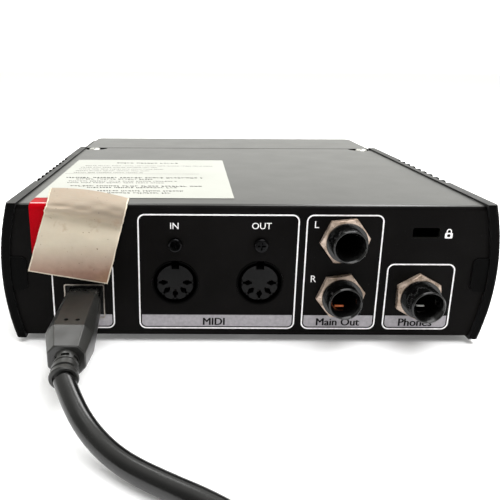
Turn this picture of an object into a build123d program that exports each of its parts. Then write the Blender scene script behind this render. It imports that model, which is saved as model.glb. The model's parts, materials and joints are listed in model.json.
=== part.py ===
from build123d import *
import math
import os

# A desktop two-in two-out USB audio interface with its USB cable plugged in.
# Millimetres. X runs across the front, Y from the front (-Y) to the connector panel (+Y), Z up.
# The origin lies under the middle of the unit, on the surface that its feet stand on.

os.makedirs("parts", exist_ok=True)

# ---- driving dimensions -----------------------------------------------------------------
DEPTH = 141.6            # from the hood's front edge to the rear panel's outer face
MID_HALF = 73.2          # half the width over the cheeks, at mid height
END_HALF = 70.2          # the same at the top and bottom ends of the cheeks
CHEEK_LOW, CHEEK_TOP = 1.7, 43.9
CHEEK_FRONT_TOP = 41.6   # the cheeks' lower run beside the hood
CHEEK_WALL = 2.85
CHEEK_PROUD = 1.0        # how far the cheeks stand out past both panels
CASE_LOW, CASE_TOP = 2.5, 43.4
SHEET = 1.2              # painted steel of the cover and the hood
GROOVE = 105.4           # from the rear panel to the groove between cover and hood
GROOVE_GAP = 0.9
BEND = 1.5               # outer radius of the sheet's bends
NOTCH_R = 5.8            # the round notches that clear the hood's screws
HOOD_SCREW_X = 63.0
KNOB_REACH = 16.0        # the main knob's face, in front of the hood's front edge
PHONES_NOSE = 8.5        # how far the phones jack stands out of the rear panel
MAIN_NOSE = 6.8          # the same for the two output jacks
JACK_BORE_R = 3.25       # for a 6.35 mm plug
JACK_NOSE_R = 4.9
JACK_LIP_R = 5.9
JACK_FUNNEL = 2.0        # depth of the flared mouth
JACK_BUSH_R = 4.6
NUT_FLATS = 12.7
BOARD_TOP = 7.9
BOARD_THICK = 1.6

REAR = (DEPTH + KNOB_REACH - PHONES_NOSE) / 2
FRONT = REAR - DEPTH
MID_Z = (CHEEK_LOW + CHEEK_TOP) / 2
CHEEK_SAG = MID_HALF - END_HALF
CHEEK_R = (((CHEEK_TOP - CHEEK_LOW) / 2) ** 2 + CHEEK_SAG**2) / (2 * CHEEK_SAG)
ARC_BACK = CHEEK_R - MID_HALF     # the cheek arc's centre lies this far past the middle
INNER_HALF = MID_HALF - CHEEK_WALL - 0.05
GROOVE_Y = REAR - GROOVE
HOOD_SCREW_Y = GROOVE_Y + 2.4
FAR = 200.0              # longer than anything on the unit, for cutting tools

# Places on the rear panel, as (x, z)
USB = (49.05, 13.4)
MIDI_IN = (21.9, 19.4)
MIDI_OUT = (-3.2, 19.4)
MIDI_SCREW_UP = 11.9
MAIN_LEFT = (-27.4, 32.9)
MAIN_RIGHT = (-27.3, 15.7)
PHONES = (-50.5, 15.5)
LOCK = (-51.0, 35.2)
LOCK_SLOT = (8.0, 3.1)

# Places on the front panel, as (x, z)
COMBOS = {"combo_1": (-50.0, 21.0), "combo_2": (-22.5, 21.0)}
SMALL_KNOBS = {
    "gain_1": (1.0, 30.5),
    "gain_2": (1.0, 12.5),
    "mix": (25.0, 30.5),
    "phones": (25.0, 12.5),
}
MAIN_KNOB = (50.0, 21.0)
BUTTONS = {"line": (13.0, 28.5), "phantom": (13.0, 13.5)}
LEDS = [(-3.0, 21.5), (5.0, 21.5), (13.0, 21.0), (37.5, 35.5)]
PANEL_Y = FRONT + 1.3    # the front panel's outer face, just behind the hood's lip
PANEL_THICK = 2.0
FRONT_BOARD_Y = FRONT + 16.5


# ---- helpers ----------------------------------------------------------------------------
def block(x, y, z):
    """A box from (low, high) pairs."""
    middle = Pos((x[0] + x[1]) / 2, (y[0] + y[1]) / 2, (z[0] + z[1]) / 2)
    return middle * Box(x[1] - x[0], y[1] - y[0], z[1] - z[0])


def rod_x(y, z, radius, x0, x1):
    return Pos((x0 + x1) / 2, y, z) * Rot(0, 90, 0) * Cylinder(radius, x1 - x0)


def rod_y(x, z, radius, y0, y1):
    return Pos(x, (y0 + y1) / 2, z) * Rot(90, 0, 0) * Cylinder(radius, y1 - y0)


def rod_z(x, y, radius, z0, z1):
    return Pos(x, y, (z0 + z1) / 2) * Cylinder(radius, z1 - z0)


def prism_y(sketch, y0, y1):
    """A sketch drawn in X and Z, extruded from y0 to y1."""
    return extrude(Plane.XZ.offset(-y1) * sketch, y1 - y0)


def cone_y(x, z, r0, r1, y0, y1):
    """A cone along Y, of radius r0 at y0 and r1 at y1."""
    return Pos(x, (y0 + y1) / 2, z) * Rot(-90, 0, 0) * Cone(r0, r1, y1 - y0)


def rod_along(start, direction, radius, length):
    plane = Plane(origin=start, z_dir=direction)
    return plane * (Pos(0, 0, length / 2) * Cylinder(radius, length))


def save(name, *shapes):
    """Writes one node: a single solid, or a group of separate ones."""
    solids = []
    for shape in shapes:
        solids += shape.solids()
    whole = solids[0] if len(solids) == 1 else Compound(children=solids)
    export_step(whole, f"parts/{name}.step")


def bowed_section(half_mid, z0, z1):
    """A section in X and Z with flat ends and both sides bowed out along the cheek's arc."""
    disc = Circle(half_mid + ARC_BACK)
    band = Pos(0, (z0 + z1) / 2) * Rectangle(2 * half_mid + 2, z1 - z0)
    return band & (Pos(-ARC_BACK, MID_Z) * disc) & (Pos(ARC_BACK, MID_Z) * disc)


def case_space(y0, y1):
    """The space between the cheeks, which the painted sheets fill edge to edge."""
    return prism_y(bowed_section(INNER_HALF, CASE_LOW, CASE_TOP), y0, y1)


def corner_profile(y, z, radius, facing):
    """A huge rounded rectangle in Y and Z whose top corner, towards facing (+1 or -1), is at y, z."""
    middle = Pos(y - facing * FAR / 2, z - FAR / 2)
    return middle * RectangleRounded(FAR, FAR, radius)


def bent_sheet(y, z, thick, outer_radius, facing):
    """A sheet that runs level and bends down at its corner, as a long prism along X."""
    outer = corner_profile(y, z, outer_radius, facing)
    inner = corner_profile(y - facing * thick, z - thick, outer_radius - thick, facing)
    return extrude(Plane.YZ * (outer - inner), FAR / 2, both=True)


# ---- casing -----------------------------------------------------------------------------
FLANGE = 8.0             # the cover's foot, folded in over the tray's floor
TRAY_SHEET = 1.0
TRAY_HALF = 65.2
WALL_TOP = 42.05
BASE_SCREW_R = 1.45
BASE_SCREWS = [
    (x, y) for x in (-45.0, 0.0, 45.0) for y in (REAR - 5.5, FRONT + 8.5)
]
CHEEK_SCREWS = [(y, z) for y in (FRONT + 26.0, REAR - 30.0) for z in (12.0, 33.0)]
VENT_PITCH = 5.1
VENT_LENGTH = 3.3
VENTS = [REAR - 30.5 - VENT_PITCH * i for i in range(9)]


def top_cover():
    sheet = bent_sheet(REAR, CASE_TOP, SHEET, BEND, 1) & case_space(GROOVE_Y, REAR)
    foot_z = (CASE_LOW + TRAY_SHEET + 0.05, CASE_LOW + TRAY_SHEET + 0.05 + SHEET)
    foot = block((-60, 60), (REAR - SHEET - FLANGE, REAR - SHEET / 2), foot_z)
    cover = sheet + foot
    tools = [
        prism_y(Pos(*USB) * RectangleRounded(12.4, 11.4, 0.6), REAR - 5, REAR + 5),
        prism_y(Pos(*LOCK) * RectangleRounded(*LOCK_SLOT, 0.7), REAR - 5, REAR + 5),
    ]
    for x, z in (MIDI_IN, MIDI_OUT):
        tools.append(rod_y(x, z, DIN_RING_R + 0.05, REAR - 5, REAR + 5))
        tools.append(rod_y(x, z + MIDI_SCREW_UP, 1.5, REAR - 5, REAR + 5))
    for x, z in (MAIN_LEFT, MAIN_RIGHT, PHONES):
        tools.append(rod_y(x, z, JACK_BUSH_R + 0.05, REAR - 5, REAR + 5))
    for side in (-1, 1):
        tools.append(rod_z(side * HOOD_SCREW_X, GROOVE_Y, NOTCH_R, CASE_TOP - 3, CASE_TOP + 3))
    for x, y in BASE_SCREWS:
        if y > 0:
            tools.append(rod_z(x, y, BASE_SCREW_R + 0.02, 3, 6))
    return cover - tools


def front_hood():
    low = 40.2
    lip_space = case_space(FRONT, GROOVE_Y - GROOVE_GAP)
    sheet = bent_sheet(FRONT, CASE_TOP, SHEET, BEND, -1) & lip_space
    sheet = sheet & block((-FAR, FAR), (FRONT - 1, REAR), (low, CASE_TOP + 1))
    plan = Pos(0, FRONT + FAR / 2) * RectangleRounded(2 * (INNER_HALF - 2.9), FAR, 5.0)
    sheet = sheet & (Pos(0, 0, low) * extrude(plan, 10))
    hood = sheet
    tab_z = (CASE_TOP - 2 * SHEET, CASE_TOP - SHEET)
    for side in (-1, 1):
        x = side * HOOD_SCREW_X
        tab = block((x - 4.0, x + 4.0), (GROOVE_Y - 8, HOOD_SCREW_Y), tab_z)
        tab += rod_z(x, HOOD_SCREW_Y, 4.0, *tab_z)
        hood += tab
        hood -= rod_z(x, HOOD_SCREW_Y, 3.1, CASE_TOP - SHEET, CASE_TOP + 2)
        hood -= rod_z(x, HOOD_SCREW_Y, 1.5, CASE_TOP - 5, CASE_TOP + 2)
    return hood


def base_tray():
    inside = (CASE_LOW + TRAY_SHEET, 60)
    outer = block((-TRAY_HALF, TRAY_HALF), (FRONT + 3.5, REAR - 1.7), (CASE_LOW, WALL_TOP))
    inner_x = (-TRAY_HALF + TRAY_SHEET, TRAY_HALF - TRAY_SHEET)
    tray = outer - block(inner_x, (-FAR, FAR), inside)
    ear_z = (CASE_TOP - 2 * SHEET - 1.05, CASE_TOP - 2 * SHEET - 0.05)
    for side in (-1, 1):
        ear_x = sorted((side * (TRAY_HALF - 0.5), side * (HOOD_SCREW_X - 4.5)))
        tray += block(ear_x, (HOOD_SCREW_Y - 5, HOOD_SCREW_Y + 5), ear_z)
        tray -= rod_z(side * HOOD_SCREW_X, HOOD_SCREW_Y, 1.42, 35, 43)
        hood_room_z = (CASE_TOP - 2 * SHEET - 0.04, 60)
        tray -= block(
            sorted((side * 58, side * 70)), (GROOVE_Y - 9, HOOD_SCREW_Y + 4.4), hood_room_z
        )
        for y, z in CHEEK_SCREWS:
            tray -= rod_x(y, z, 1.5, *sorted((side * 60, side * 70)))
        for y in VENTS:
            vent_x = sorted((side * 60, side * 70))
            tray -= block(vent_x, (y - VENT_LENGTH / 2, y + VENT_LENGTH / 2), (30, 37))
    for x, y in BASE_SCREWS:
        tray -= rod_z(x, y, 1.6, 0, 5)
    return tray


def cheek(side):
    """One bowed plastic end: a curved wall with vents, four screw bosses and a rear tongue.

    Beside the hood the wall is lower, and a shelf under the hood's edge closes the gap.
    """
    y0, y1 = FRONT - CHEEK_PROUD, REAR + CHEEK_PROUD
    outer = bowed_section(MID_HALF, CHEEK_LOW, CHEEK_TOP)
    inner = bowed_section(MID_HALF - CHEEK_WALL, 0, 60)
    wall = prism_y(outer - inner, y0, y1) & block((0, FAR), (-FAR, FAR), (0, FAR))
    ends = [
        e
        for e in wall.edges().filter_by(GeomType.CIRCLE)
        if e.center().X > MID_HALF - CHEEK_WALL / 2
    ]
    wall = fillet(ends, 1.1)
    tongue_z = (17.1, 27.4)
    tongue = prism_y(
        Pos(69.2, sum(tongue_z) / 2) * RectangleRounded(7.0, tongue_z[1] - tongue_z[0], 1.8),
        REAR + 0.05,
        REAR + 0.5,
    )
    wall += tongue & prism_y(bowed_section(MID_HALF - 1.0, 3, 42), REAR, REAR + 1)
    hood_end = GROOVE_Y - GROOVE_GAP
    wall -= block((60, 80), (-FAR, hood_end), (CHEEK_FRONT_TOP, 60))
    shelf_x = (TRAY_HALF + 0.1, END_HALF - 1.0)
    shelf_y = (PANEL_Y + PANEL_THICK + 0.1, REAR - SHEET - 0.1)
    wall += block(shelf_x, shelf_y, (CASE_LOW, CASE_LOW + 1.4))
    wall += block(shelf_x, (shelf_y[0], hood_end), (CHEEK_FRONT_TOP - 2.4, CHEEK_FRONT_TOP - 0.8))
    reach = block((TRAY_HALF + 0.05, MID_HALF), (-FAR, FAR), (0, 60))
    for y, z in CHEEK_SCREWS:
        boss = rod_x(y, z, 3.2, 60, MID_HALF) & reach
        boss &= prism_y(bowed_section(MID_HALF - 1.2, 3, 42), y0, y1)
        wall += boss
        wall -= rod_x(y, z, 1.42, 60, MID_HALF - 2.2)
    for y in VENTS:
        wall -= block((68.9, 80), (y - VENT_LENGTH / 2, y + VENT_LENGTH / 2), (39.2, 60))
        wall -= block((60, 80), (y - VENT_LENGTH / 2, y + VENT_LENGTH / 2), (30.5, 36.5))
    return wall if side > 0 else mirror(wall, Plane.YZ)


# ---- fasteners and feet -----------------------------------------------------------------
def cross_recess(radius):
    """A cross-point recess, as a tool at the origin that cuts down into a head's top."""
    slot = Box(radius * 1.15, radius * 0.24, 0.9)
    return Pos(0, 0, 0.2) * (slot + Rot(0, 0, 90) * slot)


def screw(head_r, head_h, shank_r, shank_l):
    """A pan-head screw along Z: the head's underside at z 0, its shank below."""
    head = Pos(0, 0, head_h / 2) * Cylinder(head_r, head_h)
    head = fillet(head.edges().group_by(Axis.Z)[-1], head_h * 0.45)
    head -= Pos(0, 0, head_h - 0.6) * cross_recess(head_r)
    return head + Pos(0, 0, -shank_l / 2) * Cylinder(shank_r, shank_l)


def hood_screws():
    one = screw(2.6, 1.5, 1.4, 3.2)
    z = CASE_TOP - SHEET
    return [Pos(s * HOOD_SCREW_X, HOOD_SCREW_Y, z) * one for s in (-1, 1)]


def base_screws():
    one = Rot(180, 0, 0) * screw(2.5, 1.4, 1.42, 3.5)
    return [Pos(x, y, CASE_LOW) * one for x, y in BASE_SCREWS]


def cheek_screws():
    one = screw(2.5, 1.4, 1.4, 4.6)
    wall = TRAY_HALF - TRAY_SHEET
    screws = []
    for side in (-1, 1):
        for y, z in CHEEK_SCREWS:
            screws.append(Pos(side * wall, y, z) * Rot(0, -90 * side, 0) * one)
    return screws


def midi_screws():
    one = Rot(-90, 0, 0) * screw(2.1, 1.3, 1.25, 6.0)
    return [Pos(x, REAR, z + MIDI_SCREW_UP) * one for x, z in (MIDI_IN, MIDI_OUT)]


def rubber_feet():
    feet = []
    for x in (-56.0, 56.0):
        for y in (FRONT + 17.0, REAR - 17.0):
            foot = rod_z(x, y, 6.0, 0, CASE_LOW)
            feet.append(fillet(foot.edges().group_by(Axis.Z)[0], 0.8))
    return feet


# ---- boards -----------------------------------------------------------------------------
BOARD_X = (-61.0, 61.0)
BOARD_Y = (FRONT + 32.0, REAR - 2.6)
STANDOFFS = [(x, y) for x in (-57.0, 57.0) for y in (BOARD_Y[0] + 5, REAR - 37.0)]


def main_board():
    board = block(BOARD_X, BOARD_Y, (BOARD_TOP - BOARD_THICK, BOARD_TOP))
    return board - [rod_z(x, y, 1.6, 0, 20) for x, y in STANDOFFS]


def board_standoffs():
    low, high = CASE_LOW + TRAY_SHEET, BOARD_TOP - BOARD_THICK
    return [rod_z(x, y, 2.6, low, high) - rod_z(x, y, 1.42, low, 20) for x, y in STANDOFFS]


def board_screws():
    one = screw(2.6, 1.4, 1.4, 4.0)
    return [Pos(x, y, BOARD_TOP) * one for x, y in STANDOFFS]


def board_chips():
    places = [(38, 30, 9, 9), (18, 22, 12, 12), (-6, 26, 6, 9), (-24, 12, 7, 5), (8, -4, 5, 5)]
    chips = []
    for x, y, wide, deep in places:
        z = (BOARD_TOP, BOARD_TOP + 1.2)
        chips.append(block((x - wide / 2, x + wide / 2), (y - deep / 2, y + deep / 2), z))
    return chips


def board_capacitors():
    cans = []
    for i, (x, y) in enumerate([(-48, 28), (-38, 28), (-10, 8), (2, 10), (44, 8), (52, 8)]):
        radius = 3.15 if i < 2 else 2.5
        can = rod_z(x, y, radius, BOARD_TOP, BOARD_TOP + 4 * radius - 2)
        cans.append(fillet(can.edges().group_by(Axis.Z)[-1], 0.4))
    return cans


def front_board():
    return block((-8.0, 61.0), (FRONT_BOARD_Y, FRONT_BOARD_Y + BOARD_THICK), (4.2, 40.5))


# ---- rear sockets -----------------------------------------------------------------------
DIN_RING_R = 6.9
DIN_INSERT_R = 5.5
DIN_PIN_CIRCLE_R = 3.5
JACK_HALF_W = 7.9
JACK_DEEP = 29.0
USB_DEEP = 16.0
USB_WALL = 0.35


def usb_socket_shell():
    """A folded sheet-metal can, open towards the rear."""
    x, z = USB
    shell = prism_y(Pos(x, z) * RectangleRounded(12.0, 11.0, 0.6), REAR - USB_DEEP, REAR + 0.4)
    room = RectangleRounded(12.0 - 2 * USB_WALL, 11.0 - 2 * USB_WALL, 0.3)
    return shell - prism_y(Pos(x, z) * room, REAR - USB_DEEP + USB_WALL, REAR + 5)


def usb_socket_tongue():
    """The plastic inside the can: a sleeve round the plug's opening, and its tongue."""
    x, z = USB
    wide, high = 11.96 - 2 * USB_WALL, 10.96 - 2 * USB_WALL
    sleeve = prism_y(
        Pos(x, z) * RectangleRounded(wide, high, 0.3), REAR - USB_DEEP + USB_WALL, REAR - 0.4
    )
    sleeve -= prism_y(Pos(x, z) * Rectangle(9.0, 8.4), REAR - 10.5, REAR + 5)
    return sleeve + prism_y(Pos(x, z) * RectangleRounded(5.4, 3.0, 0.3), REAR - 10.6, REAR - 2.0)


def din_socket(x, z):
    """A five-pole socket: a square body, a round face, a ring gap and slots by its pin holes."""
    y_back = REAR - SHEET - 13.0
    body = block((x - 9.6, x + 9.6), (y_back, REAR - SHEET), (BOARD_TOP, z + 14.2))
    body += rod_y(x, z, DIN_RING_R, REAR - SHEET - 1, REAR + 0.25)
    ring = rod_y(x, z, DIN_RING_R - 0.45, REAR - 7.5, REAR + 1)
    ring -= rod_y(x, z, DIN_INSERT_R, REAR - 9, REAR + 2)
    body -= ring
    body -= rod_y(x, z, DIN_INSERT_R + 1, REAR - 0.15, REAR + 1)
    body -= block((x - 1.15, x + 1.15), (REAR - 6.5, REAR + 1), (z + DIN_INSERT_R - 1.3, z + 7))
    for step in range(5):
        angle = math.radians(180 + 45 * step)
        px = x + DIN_PIN_CIRCLE_R * math.cos(angle)
        pz = z + DIN_PIN_CIRCLE_R * math.sin(angle)
        body -= rod_y(px, pz, 0.85, REAR - 9.0, REAR + 1)
        slot = Pos(DIN_PIN_CIRCLE_R + 0.1, 0, 0) * Box(2.7, 3.6, 0.8)
        body -= Pos(x, REAR - 1.6, z) * Rot(0, -180 - 45 * step, 0) * slot
    return body - rod_y(x, z + MIDI_SCREW_UP, 1.27, REAR - 9.0, REAR + 1)


def midi_contacts():
    sleeves = []
    for x, z in (MIDI_IN, MIDI_OUT):
        for step in range(5):
            angle = math.radians(180 + 45 * step)
            px = x + DIN_PIN_CIRCLE_R * math.cos(angle)
            pz = z + DIN_PIN_CIRCLE_R * math.sin(angle)
            sleeve = rod_y(px, pz, 0.8, REAR - 8.9, REAR - 3.6)
            sleeves.append(sleeve - rod_y(px, pz, 0.5, REAR - 8.0, REAR))
    return sleeves


def jack(x, z, low, high, nose):
    """A quarter-inch jack: its housing, threaded bush and round nose, flared at its mouth."""
    housing = block(
        (x - JACK_HALF_W, x + JACK_HALF_W), (REAR - SHEET - JACK_DEEP, REAR - SHEET), (low, high)
    )
    housing = fillet(housing.edges().filter_by(Axis.Y), 1.0)
    body = housing + rod_y(x, z, JACK_BUSH_R, REAR - SHEET - 1, REAR + nose - 1.0)
    body += rod_y(x, z, JACK_NOSE_R, REAR + 2.2, REAR + nose - 0.3)
    body += rod_y(x, z, JACK_LIP_R, REAR + 2.2, REAR + 3.3)
    body += cone_y(x, z, JACK_NOSE_R, JACK_NOSE_R - 0.3, REAR + nose - 0.3, REAR + nose)
    body -= rod_y(x, z, JACK_BORE_R, REAR - 27.0, REAR + nose + 1)
    mouth = REAR + nose - JACK_FUNNEL
    body -= cone_y(x, z, JACK_BORE_R, JACK_NOSE_R - 0.45, mouth, REAR + nose)
    side = block((x - 1.6, x + 1.6), (REAR - 24.0, REAR - 12.0), (z + 2.0, z + 6.0))
    return body - side


def jack_contacts():
    leaves = []
    for x, z in (MAIN_LEFT, MAIN_RIGHT, PHONES):
        leaf = block((x - 1.4, x + 1.4), (REAR - 23.5, REAR - 12.5), (z + 4.9, z + 5.3))
        foot = block((x - 1.4, x + 1.4), (REAR - 14.0, REAR - 12.5), (z + 3.5, z + 5.3))
        leaves.append(leaf + foot)
    return leaves


def jack_nuts():
    """Hexagon nuts with a broad bevel, each stopped at its own angle."""
    nuts = []
    for (x, z), turn in ((MAIN_LEFT, -6), (MAIN_RIGHT, -8), (PHONES, 29)):
        hexagon = RegularPolygon(NUT_FLATS / math.sqrt(3), 6)
        nut = Pos(x, 0, z) * prism_y(Rot(0, 0, turn) * hexagon, REAR + 0.02, REAR + 2.1)
        bevel = rod_y(x, z, 7.4, REAR + 0.02, REAR + 1.0)
        bevel += cone_y(x, z, 7.4, 5.6, REAR + 1.0, REAR + 2.1)
        nuts.append((nut & bevel) - rod_y(x, z, JACK_BUSH_R + 0.03, REAR - 1, REAR + 5))
    return nuts


# ---- front panel ------------------------------------------------------------------------
COMBO_R = 11.5
COMBO_FLANGE_R = 12.9
COMBO_DEEP = 27.0
LATCH_UP = 9.9           # the latch tab's height over the socket's axis
LATCH_SIZE = (5.4, 2.0)
BUTTON_SIZE = (7.0, 4.4)
SHAFT_R = 3.0
BUSH_R = 3.9


def front_panel():
    section = bowed_section(INNER_HALF, CASE_LOW + 0.1, CASE_TOP - BEND - 0.05)
    panel = prism_y(section, PANEL_Y, PANEL_Y + PANEL_THICK)
    y0, y1 = PANEL_Y - 3, PANEL_Y + 5
    for x, z in COMBOS.values():
        panel -= rod_y(x, z, COMBO_R + 0.05, y0, y1)
    for x, z in [*SMALL_KNOBS.values(), MAIN_KNOB]:
        panel -= rod_y(x, z, BUSH_R + 0.1, y0, y1)
    for x, z in BUTTONS.values():
        wide, high = BUTTON_SIZE
        panel -= prism_y(Pos(x, z) * RectangleRounded(wide + 0.6, high + 0.6, 1.1), y0, y1)
    for x, z in LEDS:
        panel -= rod_y(x, z, 1.05, y0, y1)
    foot_y = (PANEL_Y + PANEL_THICK, PANEL_Y + PANEL_THICK + 9.0)
    foot_z = (CASE_LOW + TRAY_SHEET + 0.05, CASE_LOW + TRAY_SHEET + 1.6)
    foot_y = (PANEL_Y + PANEL_THICK - 0.5, foot_y[1])
    panel += block((-55, 55), foot_y, foot_z)
    for x, y in BASE_SCREWS:
        if y < 0:
            panel -= rod_z(x, y, BASE_SCREW_R + 0.02, 3, 6)
    return panel


def combo_shell(x, z):
    """A combined three-pole and quarter-inch socket with a slot for its latch tab."""
    y_face = PANEL_Y - 1.4
    y_back = PANEL_Y + COMBO_DEEP
    body = rod_y(x, z, COMBO_R, y_face, y_back)
    body += rod_y(x, z, COMBO_FLANGE_R, y_face, PANEL_Y - 0.02)
    body -= cone_y(x, z, 10.4, 9.6, y_face - 0.01, y_face + 1.2)
    groove = rod_y(x, z, 9.6, y_face - 1, y_face + 14.0) - rod_y(x, z, 8.1, y_face, y_back)
    body -= groove
    body -= rod_y(x, z, JACK_BORE_R, y_face - 1, y_face + 26.0)
    for step in range(3):
        angle = math.radians(90 + 120 * step)
        px, pz = x + 5.9 * math.cos(angle), z + 5.9 * math.sin(angle)
        body -= rod_y(px, pz, 1.5, y_face - 1, y_face + 14.0)
    wide, high = LATCH_SIZE
    slot_z = (z + LATCH_UP - high / 2 - 0.3, z + COMBO_FLANGE_R + 1)
    slot = block((x - wide / 2 - 0.3, x + wide / 2 + 0.3), (y_face - 2, y_face + 9.0), slot_z)
    keep = rod_y(x, z, COMBO_FLANGE_R, y_face - 3, PANEL_Y - 0.02)
    keep = keep - rod_y(x, z, LATCH_UP + high / 2 + 0.35, y_face - 3, PANEL_Y)
    return body - (slot - keep)


def combo_latch(x, z):
    """The metal tab that frees a locked plug: pushed in, it springs back."""
    wide, high = LATCH_SIZE
    y_face = PANEL_Y - 1.4
    tab = block(
        (x - wide / 2, x + wide / 2),
        (y_face - 1.6, y_face + 6.5),
        (z + LATCH_UP - high / 2, z + LATCH_UP + high / 2),
    )
    return fillet(tab.edges().group_by(Axis.Y)[0], 0.5)


def combo_contacts():
    sleeves = []
    for x, z in COMBOS.values():
        for step in range(3):
            angle = math.radians(90 + 120 * step)
            px, pz = x + 5.9 * math.cos(angle), z + 5.9 * math.sin(angle)
            sleeve = rod_y(px, pz, 1.46, PANEL_Y + 1.5, PANEL_Y + 12.4)
            sleeves.append(sleeve - rod_y(px, pz, 1.15, PANEL_Y, PANEL_Y + 11.5))
    return sleeves


def pot_bodies():
    """Potentiometers: a housing on the front board and a bush that carries the shaft."""
    pots = []
    for x, z in [*SMALL_KNOBS.values(), MAIN_KNOB]:
        can = block((x - 4.9, x + 4.9), (PANEL_Y + 6.2, FRONT_BOARD_Y), (z - 5.4, z + 5.4))
        pot = can + rod_y(x, z, BUSH_R, PANEL_Y + 0.6, PANEL_Y + 7)
        pots.append(pot - rod_y(x, z, SHAFT_R + 0.06, PANEL_Y - 1, PANEL_Y + 12.0))
    return pots


def shaft(x, z, tip):
    """A D-section shaft from inside the potentiometer to the knob's blind bore."""
    rod = rod_y(x, z, SHAFT_R, tip, PANEL_Y + 11.5)
    flat = block((x - 5, x + 5), (tip - 1, PANEL_Y - 1.2), (z + 1.6, z + 5))
    return rod - flat


def knob(x, z, radius, face_y, fins):
    """A ribbed knob with a skirt, a pointer groove and a blind D bore for its shaft."""
    back_y = PANEL_Y - 0.9
    grip = cone_y(x, z, radius * 0.86, radius * 0.93, face_y, back_y - 2.2)
    grip += rod_y(x, z, radius, back_y - 2.4, back_y)
    rim = [e for e in grip.edges().filter_by(GeomType.CIRCLE) if e.center().Y < face_y + 0.1]
    grip = fillet(rim, 0.7)
    for step in range(fins):
        place = Pos(x, 0, z) * Rot(0, 360 / fins * step + 180 / fins, 0)
        length = back_y - 2.6 - face_y
        rib_cut = Pos(radius * 0.98, face_y + length / 2 - 0.5, 0) * Box(1.2, length, 0.7)
        grip -= place * rib_cut
    pointer = block((x - 0.45, x + 0.45), (face_y - 1, face_y + 0.5), (z + 1.2, z + radius))
    grip -= pointer
    return grip - shaft(x, z, face_y + 3.0)


def button(x, z):
    """A push button: a rounded cap on a stem that reaches its switch."""
    wide, high = BUTTON_SIZE
    cap = prism_y(Pos(x, z) * RectangleRounded(wide, high, 0.9), PANEL_Y - 2.3, PANEL_Y + 3.2)
    cap = fillet(cap.edges().group_by(Axis.Y)[0], 0.45)
    return cap + block((x - 1.5, x + 1.5), (PANEL_Y + 3.0, PANEL_Y + 7.5), (z - 1.5, z + 1.5))


def button_switches():
    boxes = []
    for x, z in BUTTONS.values():
        box = block((x - 3.5, x + 3.5), (PANEL_Y + 6.0, FRONT_BOARD_Y), (z - 3.5, z + 3.5))
        room = block((x - 1.9, x + 1.9), (PANEL_Y + 5, PANEL_Y + 9.6), (z - 1.9, z + 1.9))
        boxes.append(box - room)
    return boxes


def indicator_leds():
    lenses = []
    for x, z in LEDS:
        lens = rod_y(x, z, 1.0, PANEL_Y - 0.5, FRONT_BOARD_Y)
        lenses.append(fillet(lens.edges().group_by(Axis.Y)[0], 0.4))
    return lenses


# ---- paper on the case ------------------------------------------------------------------
LABEL = ((4.4, 64.0), (REAR - 72.2, REAR - 7.2))
LABEL_THICK = 0.12
STICKER_X = (42.5, 63.8)
STICKER_THICK = 0.15
# The tape's two faces as (distance behind the rear panel, z), down and up again
TAPE_OUTER = [(-8.6, 46.4), (-0.4, 44.95), (2.1, 43.5), (3.0, 41.2), (3.0, 18.5)]
TAPE_INNER = [(2.5, 18.5), (2.5, 41.1), (1.7, 43.1), (-0.5, 44.45), (-8.6, 45.9)]
# Its outline seen from behind, as (x, z)
TAPE_HANGING = [
    (58.4, 46.0), (35.4, 46.0), (35.6, 42.0), (37.2, 37.2), (41.9, 19.2), (65.2, 23.3), (59.7, 39.4),
]


def paper_label():
    return block(*LABEL, (CASE_TOP, CASE_TOP + LABEL_THICK))


def red_sticker():
    """A warning sticker folded over the cover's rear edge."""
    thick = STICKER_THICK
    sheet = bent_sheet(REAR + thick, CASE_TOP + thick, thick, BEND + thick, 1)
    return sheet & block(STICKER_X, (REAR - 6.9, REAR + 1), (28.5, CASE_TOP + 1))


def masking_tape():
    """A strip of masking tape, sprung up off the top and hanging free behind the rear edge."""
    profile = Polygon(*[(REAR + y, z) for y, z in TAPE_OUTER + TAPE_INNER], align=None)
    sheet = extrude(Plane.YZ * profile, FAR / 2, both=True)
    on_top = Polygon(
        (59.6, REAR - 8.6), (35.4, REAR - 6.0), (35.4, REAR - 0.4), (58.4, REAR - 0.4), align=None
    )
    hanging = Polygon(*TAPE_HANGING, align=None)
    outline = Pos(0, 0, CASE_TOP - 1) * extrude(on_top, 5, dir=(0, 0, 1))
    outline += prism_y(hanging, REAR - 0.5, REAR + 5)
    return sheet & outline


# ---- USB cable --------------------------------------------------------------------------
CORD_R = 2.55
PLUG_SHELL = (8.45, 7.78)
# The plug's moulding as sections: distance behind the panel, centre x, centre z, width,
# height and the width of its flat top
PLUG_SECTIONS = [
    (3.0, 49.2, 13.4, 10.8, 8.8, 7.8),
    (24.0, 48.35, 12.9, 12.4, 10.0, 7.9),
    (31.5, 47.5, 12.35, 9.4, 7.7, 5.85),
]
RELIEF_START = (47.5, 31.5, 12.2)
# The lead from the plug's relief to the coil: x, distance behind the panel, z
LEAD = [
    (46.8, 37.6, 11.0),
    (43.2, 44.0, 8.0),
    (37.6, 50.2, 4.8),
    (30.7, 56.0, 3.4),
    (22.3, 60.8, 3.0),
    (12.9, 66.0, 3.1),
    (3.0, 73.0, 2.6),
    (-7.1, 82.3, 2.6),
]
COIL_X, COIL_BACK = 14.5, 109.0
COIL_MEAN_R = 28.0
COIL_HALF_WIDE = 6.4     # from the mean radius to the outermost turn's centre
COIL_TOP = 10.3
TIE_ANGLE = 325.0
TIE_THICK = 0.7
TIE_WIDE = 6.0
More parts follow.
